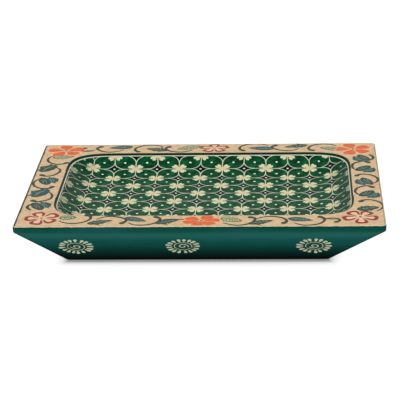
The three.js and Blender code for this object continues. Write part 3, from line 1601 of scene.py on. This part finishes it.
    def paint_pale_leaf(self, one: Leaf, place: Matrix) -> None:
        """Paints a pale toothed leaf with a dark outline, rib and side veins.

        Args:
            one: the leaf.
            place: its frame.
        """
        length, width = one.way.length, one.width
        self.add(Paint.DARK_LEAF, leaf(length + 1.1, width + 1.3, 5), place)
        inner = place @ Matrix.Translation((0.8, 0, 0))
        self.add(Paint.PALE_LEAF, leaf(length - 0.9, width - 0.2, 5), inner)
        self.pull(Paint.PALE_RIB, [(length * 0.1, 0.0, 0.45), (length * 0.9, 0.0, 0.3)], place)
        for share, aside in self.vein_ends(width * 0.36):
            vein = [(length * share, 0.1, 0.5), (length * (share + 0.1), aside, 0.35)]
            self.pull(Paint.PALE_RIB, vein, place)

    def paint_deep_leaf(self, one: Leaf, place: Matrix) -> None:
        """Paints a dark or teal leaf with a light rib and side veins, the dark one with a spur.

        Args:
            one: the leaf.
            place: its frame.
        """
        length, width = one.way.length, one.width
        if one.kind is Kind.DARK:
            self.add(Paint.DARK_LEAF, leaf(length, width, 4), place)
            spur = [(length * 0.3, -width * 0.3, 1.8), (length * 0.42, -width * 0.78, 0.3)]
            self.pull(Paint.DARK_LEAF, spur, place)
        else:
            self.add(Paint.TEAL_LEAF, leaf(length, width), place)
        rib = [(length * 0.12, 0.0, 0.3), (length * 0.45, 0.35, 0.45), (length * 0.86, 0.0, 0.25)]
        self.pull(Paint.VEIN, rib, place)
        for share, aside in self.vein_ends(width * 0.34):
            vein = [(length * share, 0.2, 0.28), (length * (share + 0.1), aside, 0.22)]
            self.pull(Paint.VEIN, vein, place)

    def vein_ends(self, reach: float) -> list[Point]:
        """Where the side veins leave the rib, and how far aside each ends, nearer at the tip."""
        ends = [(share, reach * (1.1 - share * 0.6)) for share in self.side_veins]
        return [(share, way * aside) for share, aside in ends for way in (-1, 1)]

    def paint_tendril(self, one: Leaf, side: Matrix) -> None:
        """Paints the tendril that passes a leaf and ends in a drop of paint.

        Args:
            one: the leaf.
            side: the side's frame.
        """
        base, middle = Vector(one.base), Vector(one.base) + one.way / 2
        route = []
        for x, y, width in one.curl.value:
            if one.curl is Curl.STEM:
                route.append((base.x + x, base.y + y, width))
                continue
            along = middle.x + x + self.jitter(self.wander[0])
            across = middle.y + y + self.jitter(self.wander[1])
            route.append((along, across, width * self.tendril_weight))
        self.pull(Paint.VINE, route, side)

    def paint_flower(self, flower: Flower) -> None:
        """Paints a flower petal by petal, each a little out of true.

        Args:
            flower: the flower.
        """
        squashed = Matrix.Diagonal((1, flower.squash, 1, 1))
        middle = Matrix.Translation((*flower.middle, self.surface)) @ squashed
        outlined = flower.look is Look.OUTLINED
        reach = flower.reach
        wide = reach * self.petal_share
        for turn in flower.turns:
            place = middle @ Matrix.Rotation(math.radians(turn + self.jitter(4)), 4, "Z")
            size = 1 + self.jitter(0.05)
            if outlined:
                self.add(Paint.BRICK, self.petal(self.petal_body, reach * size, wide), place)
                self.add(Paint.PINK, self.petal(self.petal_fill, reach * size, wide), place)
            else:
                body = self.petal(self.petal_body, reach * 0.93 * size, wide * 0.86)
                self.add(Paint.HALO, self.petal(self.petal_body, reach, wide * 1.16), place)
                self.add(Paint.ORANGE, body, place)
        self.add(Paint.PINK if outlined else Paint.HALO, disc(self.ring_radius), middle)
        self.add(Paint.CENTRE, disc(self.centre_radius), middle)

    @staticmethod
    def petal(shape: Sequence[Point], reach: float, wide: float) -> Outline:
        """A petal's outline from its half widths.

        Args:
            shape: distances out and half widths, as shares.
            reach: the flower's radius.
            wide: the petal's half width.

        Returns:
            The closed outline.
        """
        upper = [(out * reach, half * wide) for out, half in shape]
        lower = [(x, -y) for x, y in reversed(upper)]
        return [tuple(point) for point in smooth([*upper, *lower], closed=True, steps=5)]


@dataclass(kw_only=True)
class SideSuns(Painting):
    """Sun-like flowers drawn in wax on the sloping sides.

    Each has a ring of petals, a thin ring and a spiral on a disc a shade off the side's own
    dye. A petal is points along it with the brush's width; its tip is placed from the far end.
    The ring and the spiral are stated by radius, the brush's width, how many degrees they turn
    and how far they draw in.
    """

    boards: CarvedBoards
    down: float = 22.5
    radius: float = 12.6
    petals: int = 17
    petal_foot: tuple = ((7.9, 0.0, 1.0), (9.4, 0.0, 1.9))
    petal_tip: Point = (1.2, 2.5)
    disc_radius: float = 8.2
    ring_lines: tuple = ((6.1, 0.55, 340, 0.3), (3.7, 0.8, 400, 2.7))
    front_places: tuple = (-84.7, -11.6, 77.2)
    back_places: tuple = (-82.0, 4.0, 84.0)
    end_places: tuple = (-44.0, 42.0)
    specular: float = 0.01
    chance: random.Random = field(default_factory=lambda: random.Random(5))

    def build(self) -> list[Thing]:
        """Draws the suns on all four sides.

        Returns:
            The films.
        """
        boards = self.boards
        sides = (
            (0, -boards.low.y, -boards.base_low.y, self.front_places),
            (90, boards.high.x, boards.base_high.x, self.end_places),
            (180, boards.high.y, boards.base_high.y, self.back_places),
            (-90, -boards.low.x, -boards.base_low.x, self.end_places),
        )
        for turn, rim, base, places in sides:
            for along in places:
                self.paint_sun(self.slope_frame(turn, rim, base, along))
        return self.lay()

    def slope_frame(self, turn: float, rim: float, base: float, along: float) -> Matrix:
        """A flat frame on a sloping side, facing out.

        Args:
            turn: the side's direction, in degrees from the front.
            rim: how far out the rim's edge is.
            base: how far out the base's edge is.
            along: how far along the side the frame lies.

        Returns:
            The frame: X along the side, Y up the slope.
        """
        boards = self.boards
        foot = boards.high.z - boards.upright_edge
        up = Vector((0, -(rim - base), foot - boards.base_low.z)).normalized()
        across = Vector((1, 0, 0))
        place = Vector((along, -rim, foot)) - up * self.down
        axes = Matrix((across, up, across.cross(up))).transposed().to_4x4()
        quarter = Matrix.Rotation(math.radians(turn), 4, "Z")
        return quarter @ Matrix.Translation(place) @ axes

    def paint_sun(self, place: Matrix) -> None:
        """Draws one sun, its petals a little out of true.

        Args:
            place: the sun's frame.
        """
        self.add(Paint.SHADE, disc(self.disc_radius, 28), place)
        inset, width = self.petal_tip
        for number in range(self.petals):
            angle = 360 * number / self.petals + self.chance.uniform(-2.5, 2.5)
            turned = place @ Matrix.Rotation(math.radians(angle), 4, "Z")
            far = self.radius * self.chance.uniform(0.9, 0.98)
            route = [*self.petal_foot, (far - inset, 0.0, width)]
            self.add(Paint.WAX, stroke(route, steps=3), turned)
        start = self.chance.uniform(0, 360)
        for radius, width, sweep, pull in self.ring_lines:
            self.add(Paint.WAX, ring_line(radius, width, start, sweep, pull), place)


# ------------------------------------------------------------------ studio


@dataclass
class Studio:
    """A white room with soft light, a pale floor and one long lens.

    The floor glows softly, as paper lit from behind does, and a painted contact shadow dims the glow
    within a few millimetres of the tray's foot. The eye and the floor are in metres, and the roll is in
    degrees.
    """

    foot_low: Vector
    foot_high: Vector
    eye: tuple = (0.0637, -1.159, 0.4585)
    look: tuple = (-0.0541, 0.9353, -0.3498)
    roll: float = 1.44
    lens: float = 156.0
    room_light: float = 0.85
    table_glow: float = 0.92
    floor_size: float = 8.0
    foot_shade: float = 0.74
    foot_fade: float = 3.2
    lamps: tuple = (
        ("front_softbox", (-0.5, -1.3, 0.9), 1.0, 5.0),
        ("top_softbox", (0.3, 0.2, 1.3), 0.9, 2.5),
    )

    def build(self) -> None:
        """Sets up the floor, the light and the camera."""
        self.lay_floor()
        self.light_room()
        self.set_camera()
        bpy.context.scene.view_settings.view_transform = "Standard"
        log.info("studio: floor, light and camera")

    def lay_floor(self) -> None:
        """Lays a smooth pale floor."""
        put_down()
        bpy.ops.mesh.primitive_plane_add(size=self.floor_size, location=(0, 0, 0))
        floor = bpy.context.object
        floor.name = "studio_floor"
        dress(floor, self.white_paper())

    def white_paper(self) -> Material:
        """Matt white paper lit from behind, index 1.5: an even white, with a painted contact shadow at
        the foot.

        Returns:
            The floor's finish.
        """
        material = bpy.data.materials.new("white_paper")
        material.use_nodes = True
        tree = material.node_tree
        tree.nodes.clear()
        outside = []
        for axis in (0, 1):
            half = (self.foot_high[axis] - self.foot_low[axis]) / 2
            middle = (self.foot_high[axis] + self.foot_low[axis]) / 2
            off = (own_place(tree, axis) - middle).then("ABSOLUTE")
            outside.append((off - half).then("MAXIMUM", 0.0))
        # A painted contact shadow: the glow fades near the foot's outline.
        from_foot = (outside[0] * outside[0] + outside[1] * outside[1]).then("SQRT")
        shade = (from_foot * (-1 / self.foot_fade)).then("EXPONENT") * self.foot_shade
        sockets = {
            "Base Color": "9A9A9A",
            "Roughness": 0.9,
            "IOR": 1.5,
            "Specular IOR Level": 0.1,
            "Emission Color": "FFFFFF",
            "Emission Strength": (1.0 - shade) * self.table_glow,
        }
        paper = node(tree, "ShaderNodeBsdfPrincipled", sockets)
        node(tree, "ShaderNodeOutputMaterial", {"Surface": paper.outputs[0]})
        return material

    def light_room(self) -> None:
        """Lights the room evenly, with one soft lamp before the tray and one over it."""
        world = bpy.data.worlds.new("white_room")
        world.use_nodes = True
        background = world.node_tree.nodes["Background"]
        background.inputs[0].default_value = linear("FFFFFF")
        background.inputs[1].default_value = self.room_light
        bpy.context.scene.world = world
        for lamp in self.lamps:
            self.hang_lamp(*lamp)

    def hang_lamp(self, name: str, place: tuple, size: float, power: float) -> None:
        """Hangs one soft lamp that faces the tray.

        Args:
            name: its name.
            place: where it hangs, in metres.
            size: the side of its square face, in metres.
            power: its power in watts.
        """
        data = bpy.data.lights.new(name, "AREA")
        data.size = size
        data.energy = power
        lamp = bpy.data.objects.new(name, data)
        bpy.context.scene.collection.objects.link(lamp)
        lamp.location = place
        lamp.rotation_euler = (-Vector(place)).to_track_quat("-Z", "Y").to_euler()

    def set_camera(self) -> None:
        """Sets the camera before and above the tray."""
        data = bpy.data.cameras.new("long_lens")
        data.lens = self.lens
        data.sensor_width = 36.0
        data.clip_end = 50.0
        camera = bpy.data.objects.new("long_lens", data)
        bpy.context.scene.collection.objects.link(camera)
        ahead = Vector(self.look).normalized()
        right = ahead.cross(Vector((0, 0, 1))).normalized()
        up = right.cross(ahead)
        level = Matrix((right, up, -ahead)).transposed()
        tilted = level @ Matrix.Rotation(math.radians(-self.roll), 3, "Z")
        camera.matrix_world = Matrix.Translation(self.eye) @ tilted.to_4x4()
        bpy.context.scene.camera = camera


# ------------------------------------------------------------------ the tray


def in_mm(corner: Vector) -> Vector:
    """A corner of the frame in millimetres."""
    return Vector(corner) / MM


def main(tray: dict) -> None:
    """Builds every piece of the tray and its studio.

    Args:
        tray: the loaded frame.
    """
    logging.basicConfig(level=logging.INFO, format="%(message)s")
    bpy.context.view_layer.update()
    board_boxes = [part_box(name) for name in ("front_board", "middle_board", "back_board")]
    low = in_mm([min(box[0][axis] for box in board_boxes) for axis in range(3)])
    high = in_mm([max(box[1][axis] for box in board_boxes) for axis in range(3)])
    felt_low, felt_high = (in_mm(corner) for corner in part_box("base_felt"))
    inset = Vector((FELT_INSET, FELT_INSET, 0))
    pegs = Pegs()
    boards = CarvedBoards(
        low=low,
        high=high,
        base_low=Vector((felt_low.x, felt_low.y, felt_high.z)) - inset,
        base_high=felt_high + inset,
        holes=[(in_mm(start) + in_mm(end)) / 2 for start, end in map(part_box, pegs.names)],
    )
    Studio(foot_low=boards.base_low, foot_high=boards.base_high).build()
    rim = CreamRim(name="cream_lacquered_wood", half_length=high.x, half_width=high.y)
    finishes = [
        rim.make(),
        WaxedLattice(name="wax_resist_recess", roughness=0.34, specular=0.035).make(),
        DyedSideWithPaintedShade(name="dyed_wood_painted_shade", roughness=0.5, specular=0.004).make(),
        Grained(name="dark_stained_wood", stops=((0.3, "06120F"), (0.7, "12231D"))).make(),
        Grained(name="bare_wood", roughness=0.75).make(),
    ]
    board_pieces = boards.build(finishes)
    stops = ((0.3, "B3925A"), (0.7, "D9C08C"))
    bamboo = Grained(name="bamboo", roughness=0.6, stops=stops, streak_size=(1.0, 12.0))
    pegs.build(tray["nodes"], bamboo.make())
    wool = WoolFelt(name="black_wool_felt")
    felt = BaseFelt(low=felt_low, high=felt_high).build(wool.make())

    band_middles = {
        -90: -low.x - boards.rim_left / 2,
        0: -low.y - boards.rim_front / 2,
        90: high.x - boards.rim_right / 2,
        180: high.y - boards.rim_back / 2,
    }
    reach = (high.x - boards.arris, high.y - boards.arris)
    RimVine(surface=boards.top, lines=band_middles, reach=reach).build()
    SideSuns(boards=boards).build()


if __name__ == "__main__":
    main(frame)
